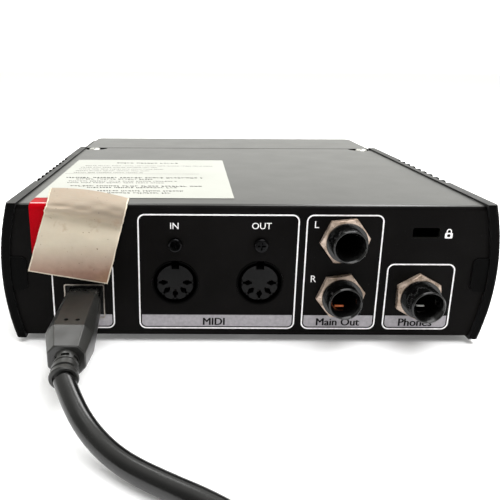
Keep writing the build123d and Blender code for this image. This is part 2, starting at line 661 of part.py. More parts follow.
# The cable's last stretch, over the coil's top to the computer's plug: x and y from the
# coil's centre, and z
TAIL = [
    (8.2, -30.9, 7.7),
    (-15.7, -30.5, 9.0),
    (-32.1, -12.2, 11.3),
    (-32.0, 5.2, 12.8),
    (-24.4, 18.0, 13.4),
    (-11.6, 24.8, 14.0),
    (-0.6, 23.8, 14.3),
]
A_PLUG_AT = (-0.6, 23.8, 14.3)
A_PLUG_DIR = (0.919, -0.394, 0.0)


def behind(point):
    """A point given as x, distance behind the rear panel and z."""
    return Vector(point[0], REAR + point[1], point[2])


def from_coil(point):
    return Vector(COIL_X + point[0], REAR + COIL_BACK + point[1], point[2])


def octagon(section):
    """One section of the plug's moulding: a rectangle with broad bevels."""
    back, x, z, wide, high, flat = section
    side = high * 0.5
    corners = [
        (flat / 2, high / 2), (wide / 2, side / 2), (wide / 2, -side / 2), (flat / 2, -high / 2),
        (-flat / 2, -high / 2), (-wide / 2, -side / 2), (-wide / 2, side / 2), (-flat / 2, high / 2),
    ]
    plane = Plane(origin=(x, REAR + back, z), x_dir=(1, 0, 0), z_dir=(0, -1, 0))
    return plane * Polygon(*corners, align=None)


def usb_plug_body():
    body = loft([octagon(s) for s in PLUG_SECTIONS], ruled=True)
    crease = PLUG_SECTIONS[1]
    top = crease[2] + crease[4] / 2
    for shift in (-1.4, 1.4):
        body -= rod_z(crease[1] + 0.3 + shift, REAR + crease[0] - 3.2, 0.45, top - 0.8, top + 1)
    return body


def usb_plug_shell():
    """The plug's metal nose, in the socket with play all round."""
    x, z = USB
    wide, high = PLUG_SHELL
    nose = prism_y(Pos(x, z) * RectangleRounded(wide, high, 0.5), REAR - 8.0, REAR + 3.0)
    return nose - prism_y(Pos(x, z) * Rectangle(wide - 0.8, high - 0.8), REAR - 9, REAR + 2.5)


def usb_plug_relief():
    """A ribbed round strain relief that ends in a collar."""
    start, end = behind(RELIEF_START), behind(LEAD[0])
    axis = (end - start).normalized()
    length = (end - start).length
    relief = rod_along(start - axis * 2, axis, 3.1, length + 2)
    for at in (length * 0.42, length - 1.7):
        relief += rod_along(start + axis * at, axis, 3.5, 1.6)
    return relief & block((-FAR, FAR), (start.Y, FAR), (0, FAR))


def fillet_radii(points):
    """Each corner's arc: as large as its two runs allow."""
    radii = []
    for before, corner, after in zip(points, points[1:], points[2:]):
        run_in, run_out = corner - before, after - corner
        turn = math.radians(run_in.get_angle(run_out))
        radii.append(0.45 * min(run_in.length, run_out.length) / math.tan(turn / 2))
    return radii


def tube(points):
    radii = fillet_radii(points)
    path = FilletPolyline(*points, radius=radii)
    solid = sweep(Plane(origin=path @ 0, z_dir=path % 0) * Circle(CORD_R), path=path)
    ratio = solid.volume / (math.pi * CORD_R**2 * path.length)
    print("cord run", round(path.length, 1), "mm, volume ratio", round(ratio, 4))
    print("  radii", [round(r, 1) for r in radii])
    return solid


def usb_cord():
    return [tube([behind(p) for p in LEAD]), tube([from_coil(p) for p in TAIL])]


def coil_tie():
    """A strap round the coil's section, which the turns lie on."""
    half = COIL_HALF_WIDE + CORD_R
    band = Box(2 * half + 2 * TIE_THICK, TIE_WIDE, COIL_TOP + 2 * TIE_THICK)
    band = Pos(0, 0, COIL_TOP / 2 + TIE_THICK) * fillet(band.edges().filter_by(Axis.Y), 2.5)
    hole = Box(2 * half, TIE_WIDE + 1, COIL_TOP)
    band -= Pos(0, 0, COIL_TOP / 2 + TIE_THICK) * fillet(hole.edges().filter_by(Axis.Y), 1.9)
    centre = from_coil((0, 0, 0))
    return Pos(centre.X, centre.Y, 0) * Rot(0, 0, TIE_ANGLE) * Pos(COIL_MEAN_R, 0, 0) * band


def usb_coil():
    """The wound length of cable, as the solid that its turns fill."""
    outer_r = COIL_MEAN_R + COIL_HALF_WIDE + CORD_R
    inner_r = COIL_MEAN_R - COIL_HALF_WIDE - CORD_R
    centre = from_coil((0, 0, 0))
    ring = rod_z(centre.X, centre.Y, outer_r, 0, COIL_TOP)
    ring -= rod_z(centre.X, centre.Y, inner_r, -1, COIL_TOP + 1)
    ring = fillet(ring.edges().filter_by(GeomType.CIRCLE), 2.0)
    return ring - coil_tie()


def a_plug_piece(wide, high, start, end):
    """A block of the computer's plug, between two distances along its axis."""
    plane = Plane(origin=from_coil(A_PLUG_AT), x_dir=A_PLUG_DIR, z_dir=(0, 0, 1))
    return plane * (Pos((start + end) / 2, 0, 0) * Box(end - start, wide, high))


def usb_a_body():
    body = a_plug_piece(15.6, 8.0, 7.0, 27.0)
    body = fillet(body.edges(), 1.3)
    start = from_coil(A_PLUG_AT)
    return body + rod_along(start, Vector(*A_PLUG_DIR), 3.2, 9.0)


def usb_a_shell():
    return a_plug_piece(12.0, 4.5, 27.0, 41.0) - a_plug_piece(11.2, 3.7, 31.0, 42.0)


# ---- write every node -------------------------------------------------------------------
def main():
    save("top_cover", top_cover())
    save("front_hood", front_hood())
    save("base_tray", base_tray())
    save("front_panel", front_panel())
    save("left_cheek", cheek(-1))
    save("right_cheek", cheek(1))
    save("hood_screws", *hood_screws())
    save("base_screws", *base_screws())
    save("cheek_screws", *cheek_screws())
    save("midi_screws", *midi_screws())
    save("rubber_feet", *rubber_feet())
    save("main_board", main_board())
    save("front_board", front_board())
    save("board_standoffs", *board_standoffs())
    save("board_screws", *board_screws())
    save("board_chips", *board_chips())
    save("board_capacitors", *board_capacitors())
    save("usb_socket_shell", usb_socket_shell())
    save("usb_socket_tongue", usb_socket_tongue())
    save("midi_in_socket", din_socket(*MIDI_IN))
    save("midi_out_socket", din_socket(*MIDI_OUT))
    save("midi_contacts", *midi_contacts())
    between = (MAIN_LEFT[1] + MAIN_RIGHT[1]) / 2
    save("main_left_jack", jack(*MAIN_LEFT, between + 0.02, MAIN_LEFT[1] + 8.2, MAIN_NOSE))
    save("main_right_jack", jack(*MAIN_RIGHT, BOARD_TOP, between, MAIN_NOSE))
    save("phones_jack", jack(*PHONES, BOARD_TOP, PHONES[1] + 8.0, PHONES_NOSE))
    save("jack_nuts", *jack_nuts())
    save("jack_contacts", *jack_contacts())
    for name, place in COMBOS.items():
        save(f"{name}_socket", combo_shell(*place))
        save(f"{name}_latch", combo_latch(*place))
    save("combo_contacts", *combo_contacts())
    save("pot_bodies", *pot_bodies())
    small_face = PANEL_Y - 13.0
    for name, place in SMALL_KNOBS.items():
        save(f"{name}_knob", knob(*place, 6.0, small_face, 16))
        save(f"{name}_shaft", shaft(*place, small_face + 3.0))
    main_face = FRONT - KNOB_REACH
    save("main_knob", knob(*MAIN_KNOB, 10.5, main_face, 28))
    save("main_shaft", shaft(*MAIN_KNOB, main_face + 3.0))
    for name, place in BUTTONS.items():
        save(f"{name}_button", button(*place))
    save("button_switches", *button_switches())
    save("indicator_leds", *indicator_leds())
    save("paper_label", paper_label())
    save("red_sticker", red_sticker())
    save("masking_tape", masking_tape())
    save("usb_plug_shell", usb_plug_shell())
    save("usb_plug_body", usb_plug_body())
    save("usb_plug_relief", usb_plug_relief())
    save("usb_cord", *usb_cord())
    save("usb_coil", usb_coil())
    save("coil_tie", coil_tie())
    save("usb_a_body", usb_a_body())
    save("usb_a_shell", usb_a_shell())


main()
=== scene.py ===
import json
import math
import random

import bmesh
import bpy
from mathutils import Matrix, Vector


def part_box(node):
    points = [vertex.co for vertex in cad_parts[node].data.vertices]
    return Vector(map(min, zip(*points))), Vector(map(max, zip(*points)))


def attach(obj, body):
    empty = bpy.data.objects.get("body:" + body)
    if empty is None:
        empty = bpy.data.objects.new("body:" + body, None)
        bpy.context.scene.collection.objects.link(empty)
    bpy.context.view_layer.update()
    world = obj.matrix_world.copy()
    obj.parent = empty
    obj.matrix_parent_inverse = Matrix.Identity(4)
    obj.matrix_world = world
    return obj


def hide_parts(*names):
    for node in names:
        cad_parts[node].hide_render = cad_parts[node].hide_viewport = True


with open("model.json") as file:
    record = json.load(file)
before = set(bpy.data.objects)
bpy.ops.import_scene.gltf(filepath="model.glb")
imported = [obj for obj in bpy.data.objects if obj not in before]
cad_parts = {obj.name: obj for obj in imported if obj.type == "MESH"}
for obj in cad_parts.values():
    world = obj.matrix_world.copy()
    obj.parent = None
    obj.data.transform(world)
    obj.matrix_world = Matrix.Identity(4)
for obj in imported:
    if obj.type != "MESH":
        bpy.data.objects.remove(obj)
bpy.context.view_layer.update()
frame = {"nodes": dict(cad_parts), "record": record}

# The looks of a small USB audio interface with its cable plugged in. Metres, in the frame of
# the CAD: +Y towards the connector panel, -Y towards the controls, +Z up.

COVER_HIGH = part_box("top_cover")[1]
REAR = COVER_HIGH.y      # the connector panel's outer face
TOP = COVER_HIGH.z       # the top's outer face
MIDI_AXES = (Vector((0.0219, 0, 0.0194)), Vector((-0.0032, 0, 0.0194)))
WELD = 1e-6              # points closer than this are one
CHASSIS = "chassis"
CABLE = "usb_cable"

# ---- camera -----------------------------------------------------------------------------
CAMERA_AT = (0.0172, REAR + 0.147, 0.0822)
CAMERA_PITCH, CAMERA_YAW, CAMERA_ROLL = 14.86, 0.0, 0.25
CAMERA_SENSOR = 36.0
CAMERA_LENS = 38.3
CAMERA_SHIFT = (0.1172, -0.0892)
CAMERA_NEAR = 0.01


def make_camera():
    data = bpy.data.cameras.new("camera")
    data.sensor_width = CAMERA_SENSOR
    data.lens = CAMERA_LENS
    data.shift_x, data.shift_y = CAMERA_SHIFT
    data.clip_start = CAMERA_NEAR
    camera = bpy.data.objects.new("camera", data)
    bpy.context.scene.collection.objects.link(camera)
    heading = Matrix.Rotation(math.radians(180 + CAMERA_YAW), 4, "Z")
    tilt = Matrix.Rotation(math.radians(90 - CAMERA_PITCH), 4, "X")
    roll = Matrix.Rotation(math.radians(CAMERA_ROLL), 4, "Z")
    camera.matrix_world = Matrix.Translation(CAMERA_AT) @ heading @ tilt @ roll
    bpy.context.scene.camera = camera


make_camera()

# ---- cord -------------------------------------------------------------------------------
CORD_R = 0.00255
PITCH = 2 * CORD_R       # one turn beside or on another
# The lead from the plug's relief to the coil: x, distance behind the rear panel, z
LEAD = [
    (0.0468, 0.0376, 0.0110),
    (0.0432, 0.0440, 0.0080),
    (0.0376, 0.0502, 0.0048),
    (0.0307, 0.0560, 0.0034),
    (0.0223, 0.0608, 0.0030),
    (0.0129, 0.0660, 0.0031),
    (0.0030, 0.0730, 0.0026),
    (-0.0071, 0.0823, 0.0026),
]
# The last stretch over the coil to the computer's plug: x and y from the coil's centre, z
TAIL = [
    (0.0082, -0.0309, 0.0077),
    (-0.0157, -0.0305, 0.0090),
    (-0.0321, -0.0122, 0.0113),
    (-0.0320, 0.0052, 0.0128),
    (-0.0244, 0.0180, 0.0134),
    (-0.0116, 0.0248, 0.0140),
    (-0.0006, 0.0238, 0.0143),
]
COIL_AT = Vector((0.0145, REAR + 0.109, 0.0))
COIL_START_ANGLE = 230.8
COIL_POINTS_PER_TURN = 16
LOWER_TURNS, RISE_TURNS, UPPER_TURNS = 2.5, 0.35, 2.0
COIL_OUTER_R = 0.0344
TIE_ANGLE = 325.0
TIE_THICK = 0.0007
TIE_WIDE = 0.006
TIE_SPREAD = 22          # degrees over which the turns bend up over the tie


def behind(point):
    return Vector((point[0], REAR + point[1], point[2]))


def from_coil(point):
    return COIL_AT + Vector(point)


def coil_point(turns):
    """Two layers of turns: inward on the surface, then a rise, then outward on top."""
    inner_r = COIL_OUTER_R - PITCH * LOWER_TURNS
    if turns < LOWER_TURNS:
        radius, level = COIL_OUTER_R - PITCH * turns, 0.0
    elif turns < LOWER_TURNS + RISE_TURNS:
        share = (turns - LOWER_TURNS) / RISE_TURNS
        radius, level = inner_r, share * share * (3 - 2 * share)
    else:
        radius, level = inner_r + PITCH * (turns - LOWER_TURNS - RISE_TURNS), 1.0
    angle = COIL_START_ANGLE - 360 * turns
    from_tie = (angle - TIE_ANGLE + 180) % 360 - 180
    lift = TIE_THICK * math.exp(-((from_tie / TIE_SPREAD) ** 2))
    place = Vector((math.cos(math.radians(angle)), math.sin(math.radians(angle)), 0)) * radius
    return from_coil(place) + Vector((0, 0, CORD_R + PITCH * level + lift))


def spline_curve(name, points, radius):
    data = bpy.data.curves.new(name, "CURVE")
    data.dimensions = "3D"
    data.bevel_depth = 1.0       # times each point's radius, which also sets the curve's box
    data.bevel_resolution = 7
    data.resolution_u = 8
    data.use_fill_caps = True
    spline = data.splines.new("NURBS")
    spline.points.add(len(points) - 1)
    for point, place in zip(spline.points, points):
        point.co = (*place, 1.0)
        point.radius = radius
    spline.order_u = 3
    spline.use_endpoint_u = True
    obj = bpy.data.objects.new(name, data)
    bpy.context.scene.collection.objects.link(obj)
    return obj


def make_cord():
    total = LOWER_TURNS + RISE_TURNS + UPPER_TURNS
    count = int(total * COIL_POINTS_PER_TURN)
    turns = [coil_point(total * i / count) for i in range(1, count)]
    route = [behind(p) for p in LEAD] + turns + [from_coil(p) for p in TAIL]
    return spline_curve("usb_lead", route, CORD_R)


cord = make_cord()
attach(cord, CABLE)
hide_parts("usb_cord", "usb_coil")


# ---- materials --------------------------------------------------------------------------
def material(name, color, rough, metallic=0.0, specular=0.5, coat=0.0, alpha=1.0):
    """A Principled material with the numbers that are the same all over set on its sockets."""
    made = bpy.data.materials.new(name)
    made.use_nodes = True
    shader = made.node_tree.nodes["Principled BSDF"]
    shader.inputs["Base Color"].default_value = (*color, 1)
    shader.inputs["Roughness"].default_value = rough
    shader.inputs["Metallic"].default_value = metallic
    shader.inputs["Specular IOR Level"].default_value = specular
    shader.inputs["Coat Weight"].default_value = coat
    shader.inputs["Alpha"].default_value = alpha
    return made


def add_node(made, kind, **values):
    node = made.node_tree.nodes.new(kind)
    for key, value in values.items():
        if key in node.inputs:
            node.inputs[key].default_value = value
        else:
            setattr(node, key, value)
    return node


def join(made, source, target):
    made.node_tree.links.new(source, target)


def place_of(made, stretch=(1, 1, 1)):
    """The point on the surface, in the frame, as texture coordinates."""
    coords = add_node(made, "ShaderNodeTexCoord")
    mapping = add_node(made, "ShaderNodeMapping", Scale=stretch)
    join(made, coords.outputs["Object"], mapping.inputs["Vector"])
    return mapping.outputs["Vector"]


def noise(made, scale, detail=2.0, rough=0.5, stretch=(1, 1, 1)):
    node = add_node(made, "ShaderNodeTexNoise", Scale=scale, Detail=detail, Roughness=rough)
    join(made, place_of(made, stretch), node.inputs["Vector"])
    return node.outputs["Fac"]


def remap(made, value, low, high, to_low, to_high):
    node = made.node_tree.nodes.new("ShaderNodeMapRange")
    for slot_name, number in zip(
        ("From Min", "From Max", "To Min", "To Max"), (low, high, to_low, to_high)
    ):
        node.inputs[slot_name].default_value = number
    join(made, value, node.inputs["Value"])
    return node.outputs["Result"]


def mix_colors(made, factor, one, other, blend="MIX"):
    node = made.node_tree.nodes.new("ShaderNodeMix")
    node.data_type = "RGBA"
    node.blend_type = blend
    factor_in, one_in, other_in = node.inputs[0], node.inputs[6], node.inputs[7]
    for target, value in ((factor_in, factor), (one_in, one), (other_in, other)):
        if isinstance(value, (int, float)):
            target.default_value = value
        elif isinstance(value, tuple):
            target.default_value = (*value, 1)
        else:
            join(made, value, target)
    return node.outputs[2]


def set_color(made, source):
    join(made, source, made.node_tree.nodes["Principled BSDF"].inputs["Base Color"])


def set_rough(made, source):
    join(made, source, made.node_tree.nodes["Principled BSDF"].inputs["Roughness"])


def add_bump(made, height, strength, depth):
    """One more layer of relief, depth metres deep at full strength."""
    shader = made.node_tree.nodes["Principled BSDF"]
    bump = add_node(made, "ShaderNodeBump", Strength=strength, Distance=depth)
    join(made, height, bump.inputs["Height"])
    earlier = shader.inputs["Normal"].links
    if earlier:
        join(made, earlier[0].from_socket, bump.inputs["Normal"])
    join(made, bump.outputs["Normal"], shader.inputs["Normal"])


def varied(made, color, other, scale, low=0.35, high=0.65):
    """Slow changes between two near colours."""
    spread = remap(made, noise(made, scale, 3.0), low, high, 0.0, 1.0)
    set_color(made, mix_colors(made, spread, color, other))


def powder_coat(name, color, rough, specular):
    """Satin textured paint: a fine orange-peel grain, dust, and rubbed places."""
    made = material(name, color, rough, specular=specular)
    lighter = tuple(c * 1.35 + 0.0015 for c in color)
    base = mix_colors(made, remap(made, noise(made, 60, 4.0), 0.35, 0.7, 0, 1), color, lighter)
    specks = remap(made, noise(made, 1500, 1.0), 0.74, 0.80, 0, 0.4)
    set_color(made, mix_colors(made, specks, base, tuple(c + 0.02 for c in color)))
    set_rough(made, remap(made, noise(made, 90, 4.0), 0.3, 0.7, rough - 0.015, rough + 0.015))
    add_bump(made, noise(made, 3200, 2.0), 0.35, 0.00003)
    add_bump(made, noise(made, 900, 2.0), 0.25, 0.00003)
    return made


def moulded(name, color, rough, grain=2600, depth=0.00003, specular=0.5, lighter=1.5):
    """Moulded plastic with a fine grain and faint handling marks."""
    made = material(name, color, rough, specular=specular)
    varied(made, color, tuple(c * lighter + 0.0006 for c in color), 45)
    set_rough(made, remap(made, noise(made, 140, 3.0), 0.3, 0.7, rough - 0.07, rough + 0.07))
    add_bump(made, noise(made, grain, 2.0), 0.4, depth)
    return made


def metal(name, color, rough, brushed=(1, 1, 1), depth=0.00001, other=None, metallic=1.0):
    """Bare or plated metal with tool marks and a little tarnish."""
    made = material(name, color, rough, metallic=metallic)
    varied(made, color, other or tuple(c * 0.72 for c in color), 350)
    set_rough(made, remap(made, noise(made, 900, 3.0), 0.3, 0.7, rough - 0.08, rough + 0.12))
    add_bump(made, noise(made, 2400, 3.0, stretch=brushed), 0.3, depth)
    return made


def board_material():
    made = material("board", (0.012, 0.11, 0.045), 0.35, coat=0.3)
    tracks = add_node(made, "ShaderNodeTexBrick", Scale=240.0)
    tracks.inputs["Color1"].default_value = (0.012, 0.11, 0.045, 1)
    tracks.inputs["Color2"].default_value = (0.02, 0.16, 0.065, 1)
    tracks.inputs["Mortar"].default_value = (0.01, 0.07, 0.03, 1)
    join(made, place_of(made), tracks.inputs["Vector"])
    set_color(made, tracks.outputs["Color"])
    add_bump(made, tracks.outputs["Fac"], 0.3, 0.00003)
    return made


def glow_lens():
    made = material("led_lens", (0.75, 0.8, 0.75), 0.25, specular=0.5, coat=0.4)
    made.node_tree.nodes["Principled BSDF"].inputs["Transmission Weight"].default_value = 0.35
    varied(made, (0.75, 0.8, 0.75), (0.6, 0.66, 0.6), 700)
    add_bump(made, noise(made, 2500, 1.0), 0.2, 0.00002)
    return made


def paper():
    made = material("label_paper", (0.37, 0.375, 0.345), 0.6, specular=0.1)
    varied(made, (0.38, 0.385, 0.355), (0.355, 0.36, 0.33), 35)
    add_bump(made, noise(made, 700, 4.0), 0.35, 0.00004)
    add_bump(made, noise(made, 55, 2.0), 0.3, 0.0002)
    return made


def sticker_print():
    """Glossy red print, a little uneven."""
    made = material("sticker_red", (0.33, 0.0003, 0.004), 0.3, specular=0.02)
    varied(made, (0.36, 0.0004, 0.005), (0.29, 0.0003, 0.003), 120)
    add_bump(made, noise(made, 400, 3.0), 0.2, 0.00005)
    return made


TAPE_FOLD_SLOPE = -0.214  # the fold runs where z + slope * x is TAPE_FOLD_Z
TAPE_FOLD_Z = 0.0298
TAPE_CORNER_SLOPE = 0.75  # the dirty lower corner is where z + slope * x is small


def tape_material():
    """Creped paper tape: fine ribs, painted shade along and above the fold, dirt towards its free
    end, dark specks.
    """
    made = material("tape_crepe", (0.50, 0.40, 0.29), 0.62, specular=0.35)
    shader = made.node_tree.nodes["Principled BSDF"]
    shader.inputs["Subsurface Weight"].default_value = 0.12
    shader.inputs["Subsurface Radius"].default_value = (0.002, 0.001, 0.0006)
    coords = add_node(made, "ShaderNodeTexCoord")
    parts = made.node_tree.nodes.new("ShaderNodeSeparateXYZ")
    join(made, coords.outputs["Object"], parts.inputs["Vector"])
    low_down = remap(made, parts.outputs["Z"], TOP - 0.011, TOP - 0.0205, 0, 1)
    cream = mix_colors(made, noise(made, 260, 4.0), (0.56, 0.49, 0.385), (0.48, 0.42, 0.325))
    pink = mix_colors(made, noise(made, 420, 5.0), (0.36, 0.215, 0.16), (0.21, 0.12, 0.085))
    tone = mix_colors(made, low_down, cream, pink)
    fold = add_node(made, "ShaderNodeMath", operation="MULTIPLY_ADD")
    fold.inputs[1].default_value = TAPE_FOLD_SLOPE
    join(made, parts.outputs["X"], fold.inputs[0])
    join(made, parts.outputs["Z"], fold.inputs[2])
    # painted shade: darker above the fold, where the tape overhangs the crease; this also darkens
    # the whole upper part of the tape
    above = remap(made, fold.outputs[0], 0.0296, 0.0320, 0, 0.9)
    tone = mix_colors(made, above, tone, (0.25, 0.20, 0.148))
    near_fold = add_node(made, "ShaderNodeMath", operation="SUBTRACT")
    near_fold.inputs[1].default_value = TAPE_FOLD_Z
    join(made, fold.outputs[0], near_fold.inputs[0])
    distance = add_node(made, "ShaderNodeMath", operation="ABSOLUTE")
    join(made, near_fold.outputs[0], distance.inputs[0])
    # painted shade in the crease, darkest on the fold line
    shade = remap(made, distance.outputs[0], 0.0003, 0.0028, 0.55, 0)
    tone = mix_colors(made, shade, tone, (0.24, 0.18, 0.125))
    corner = add_node(made, "ShaderNodeMath", operation="MULTIPLY_ADD")
    corner.inputs[1].default_value = TAPE_CORNER_SLOPE
    join(made, parts.outputs["X"], corner.inputs[0])
    join(made, parts.outputs["Z"], corner.inputs[2])
    dirt = mix_colors(made, noise(made, 700, 5.0), (0.40, 0.24, 0.13), (0.10, 0.045, 0.02))
    tone = mix_colors(made, remap(made, corner.outputs[0], 0.0570, 0.0515, 0, 0.9), tone, dirt)
    blotch = remap(made, noise(made, 190, 5.0, 0.65), 0.60, 0.78, 0, 0.55)
    tone = mix_colors(made, blotch, tone, (0.25, 0.14, 0.085))
    fleck = remap(made, noise(made, 1300, 1.0), 0.74, 0.80, 0, 0.8)
    set_color(made, mix_colors(made, fleck, tone, (0.07, 0.04, 0.03)))
    add_bump(made, noise(made, 1500, 3.0, stretch=(0.25, 1.0, 1.3)), 0.5, 0.00012)
    add_bump(made, noise(made, 300, 3.0), 0.4, 0.0003)
    return made


def print_material(name, color, rough=0.5):
    """Screen-printed ink: nearly even, thin in places."""
    made = material(name, color, rough, specular=0.1)
    varied(made, color, tuple(c * 0.82 for c in color), 900)
    add_bump(made, noise(made, 3500, 2.0), 0.3, 0.00002)
    return made


def hook_and_loop():
    made = material("tie_nylon", (0.02, 0.02, 0.021), 0.85, specular=0.3)
    shader = made.node_tree.nodes["Principled BSDF"]
    shader.inputs["Sheen Weight"].default_value = 0.4
    varied(made, (0.016, 0.016, 0.017), (0.045, 0.045, 0.047), 1400, 0.4, 0.6)
    weave = add_node(made, "ShaderNodeTexVoronoi", Scale=2200.0)
    join(made, place_of(made), weave.inputs["Vector"])
    add_bump(made, weave.outputs["Distance"], 0.8, 0.0002)
    return made


# Painted shade: a darker, duller copy of the cover's paint for the cover's faces turned to the
# rear, from partway round its bend down.
REAR_SHADE_PAINT = powder_coat("rear_face_painted_shade", (0.0024, 0.0021, 0.0020), 0.45, 0.03)
MATERIALS = {
    "cover_paint": powder_coat("cover_paint", (0.0115, 0.0113, 0.0102), 0.30, 0.43),
    "tray_paint": powder_coat("tray_paint", (0.010, 0.010, 0.010), 0.5, 0.4),
    "panel_paint": powder_coat("panel_paint", (0.012, 0.012, 0.013), 0.42, 0.4),
    "cheek_plastic": moulded("cheek_plastic", (0.0045, 0.0045, 0.0046), 0.45, specular=0.3),
    "screw_steel": metal("screw_steel", (0.55, 0.55, 0.52), 0.3, (1, 1, 0.2)),
    "screw_black": metal("screw_black", (0.012, 0.012, 0.0125), 0.12),
    "foot_rubber": moulded("foot_rubber", (0.02, 0.02, 0.02), 0.75, grain=1800, depth=0.00005),
    "board_green": board_material(),
    "chip_black": moulded("chip_black", (0.012, 0.012, 0.013), 0.45, grain=3000),
    "can_aluminium": metal("can_aluminium", (0.7, 0.7, 0.71), 0.35, (1, 1, 0.05)),
    "socket_steel": metal("socket_steel", (0.62, 0.61, 0.58), 0.28, (1, 0.1, 1)),
    "socket_plastic": moulded("socket_plastic", (0.003, 0.003, 0.0031), 0.38, specular=0.1),
    "jack_plastic": moulded(
        "jack_plastic", (0.0012, 0.0012, 0.0012), 0.14, depth=0.00001, specular=0.4
    ),
    "contact_metal": metal("contact_metal", (0.78, 0.60, 0.34), 0.25),
    "nut_nickel": metal(
        "nut_nickel", (0.60, 0.48, 0.40), 0.28, other=(0.26, 0.19, 0.14), metallic=0.4
    ),
    "pot_steel": metal("pot_steel", (0.6, 0.6, 0.6), 0.4),
    "led_lens": glow_lens(),
    "label_paper": paper(),
    "sticker_red": sticker_print(),
    "tape_crepe": tape_material(),
    "plug_pvc": moulded("plug_pvc", (0.009, 0.009, 0.0082), 0.36, 2200, 0.00002, 0.45),
    "cord_pvc": moulded("cord_pvc", (0.003, 0.003, 0.003), 0.24, 1500, 0.00002, 0.42),
    "tie_nylon": hook_and_loop(),
    "latch_steel": metal("latch_steel", (0.62, 0.62, 0.61), 0.3, (0.1, 1, 1)),
    "knob_plastic": moulded("knob_plastic", (0.010, 0.010, 0.0105), 0.5),
    "shaft_metal": metal("shaft_metal", (0.7, 0.7, 0.71), 0.3, (1, 0.1, 1)),
    "button_plastic": moulded("button_plastic", (0.30, 0.30, 0.31), 0.4),
}
PRINT_WHITE = print_material("print_white", (0.95, 0.93, 0.94))
PRINT_GREY = print_material("print_grey", (0.345, 0.33, 0.35))
PRINT_DARK = print_material("print_dark", (0.004, 0.004, 0.0045))
# a painted highlight, pale pink, for the sticker's bend
STICKER_HIGHLIGHT = print_material("sticker_painted_highlight", (0.78, 0.36, 0.37), 0.4)
TAPE_EDGE = print_material("tape_edge", (0.66, 0.58, 0.47), 0.6)
LABEL_INK = print_material("label_ink", (0.012, 0.012, 0.011), 0.6)
LABEL_INK_PALE = print_material("label_ink_pale", (0.045, 0.045, 0.042), 0.6)

cord.data.materials.append(MATERIALS["cord_pvc"])


# ---- CAD nodes that show as they are ----------------------------------------------------
EDGE_WIDTHS = {           # how far each node's sharp edges are broken
    "top_cover": 0.00012, "front_hood": 0.00015, "base_tray": 0.00015, "front_panel": 0.00015,
    "left_cheek": 0.0002, "right_cheek": 0.0002, "jack_nuts": 0.0003,
    "main_left_jack": 0.00012, "main_right_jack": 0.00012, "phones_jack": 0.00012,
    "usb_socket_shell": 0.0001, "usb_plug_shell": 0.0001, "usb_a_shell": 0.0001,
    "midi_in_socket": 0.0001, "midi_out_socket": 0.0001, "combo_1_socket": 0.00015,
    "combo_2_socket": 0.00015, "usb_a_body": 0.0001, "hood_screws": 0.00008,
    "midi_screws": 0.00008,
}
# Painted shade: a near-black, dull copy of the cheeks' plastic for the cheeks' faces turned to
# the rear.
CHEEK_REAR_SHADE = moulded("cheek_rear_painted_shade", (0.0005, 0.0005, 0.0005), 0.42, specular=0.025)
# Painted shade: a near-black, dull copy of the sockets' moulding for the ring and gap round each
# MIDI socket's face.
SOCKET_RING_SHADE = moulded("socket_ring_painted_shade", (0.0004, 0.0004, 0.0004), 0.5, specular=0.02)
SOCKET_FACE_R = 0.0053   # where a MIDI socket's round face ends and its ring begins
REAR_SHADE_LOOKS = {            # darker, duller copies of a node's look as painted shade on its faces turned to the rear, and from what slope on
    "top_cover": (REAR_SHADE_PAINT, 0.62),
    "left_cheek": (CHEEK_REAR_SHADE, 0.5),
    "right_cheek": (CHEEK_REAR_SHADE, 0.5),
}
OWN_LOOKS = {             # nodes that look unlike the others of their material slot
    # darker than bare contact metal: painted shade for the contacts deep in the socket holes
    "midi_contacts": metal("contact_painted_shade", (0.30, 0.27, 0.24), 0.25),
    # darker than bare steel: painted shadow of the tape over the shell's rim
    "usb_socket_shell": metal("socket_shell", (0.30, 0.27, 0.24), 0.35),
}


def round_edges(obj, width, segments, angle=30):
    bevel = obj.modifiers.new("edges", "BEVEL")
    bevel.width = width
    bevel.segments = segments
    bevel.limit_method = "ANGLE"
    bevel.angle_limit = math.radians(angle)
    return bevel


def paint_ring_shade(obj):
    """The ring round a MIDI socket's face, and the gap inside it, are painted blacker than the
    face: painted shade.
    """
    obj.data.materials.append(SOCKET_RING_SHADE)
    low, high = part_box(obj.name)
    x = (low.x + high.x) / 2
    z = next(row.z for row in MIDI_AXES if abs(row.x - x) < 0.001)
    to_frame = obj.matrix_world
    for face in obj.data.polygons:
        place = to_frame @ face.center
        if math.hypot(place.x - x, place.z - z) > SOCKET_FACE_R:
            face.material_index = 1


def finish_cad_nodes():
    slots = {row["node"]: row["material_slot"] for row in frame["record"]["subparts"]}
    for name, obj in frame["nodes"].items():
        obj.data.materials.clear()
        obj.data.materials.append(OWN_LOOKS.get(name, MATERIALS[slots[name]]))
        # faces turned to the rear take a darker copy of the look: painted shade
        if name in REAR_SHADE_LOOKS:
            look, slope = REAR_SHADE_LOOKS[name]
            obj.data.materials.append(look)
            for face in obj.data.polygons:
                face.material_index = 1 if face.normal.y > slope else 0
        if name in ("midi_in_socket", "midi_out_socket"):
            paint_ring_shade(obj)
        if name in EDGE_WIDTHS:
            weld = obj.modifiers.new("weld", "WELD")
            weld.merge_threshold = WELD
            round_edges(obj, EDGE_WIDTHS[name], 2, 38).harden_normals = True


finish_cad_nodes()


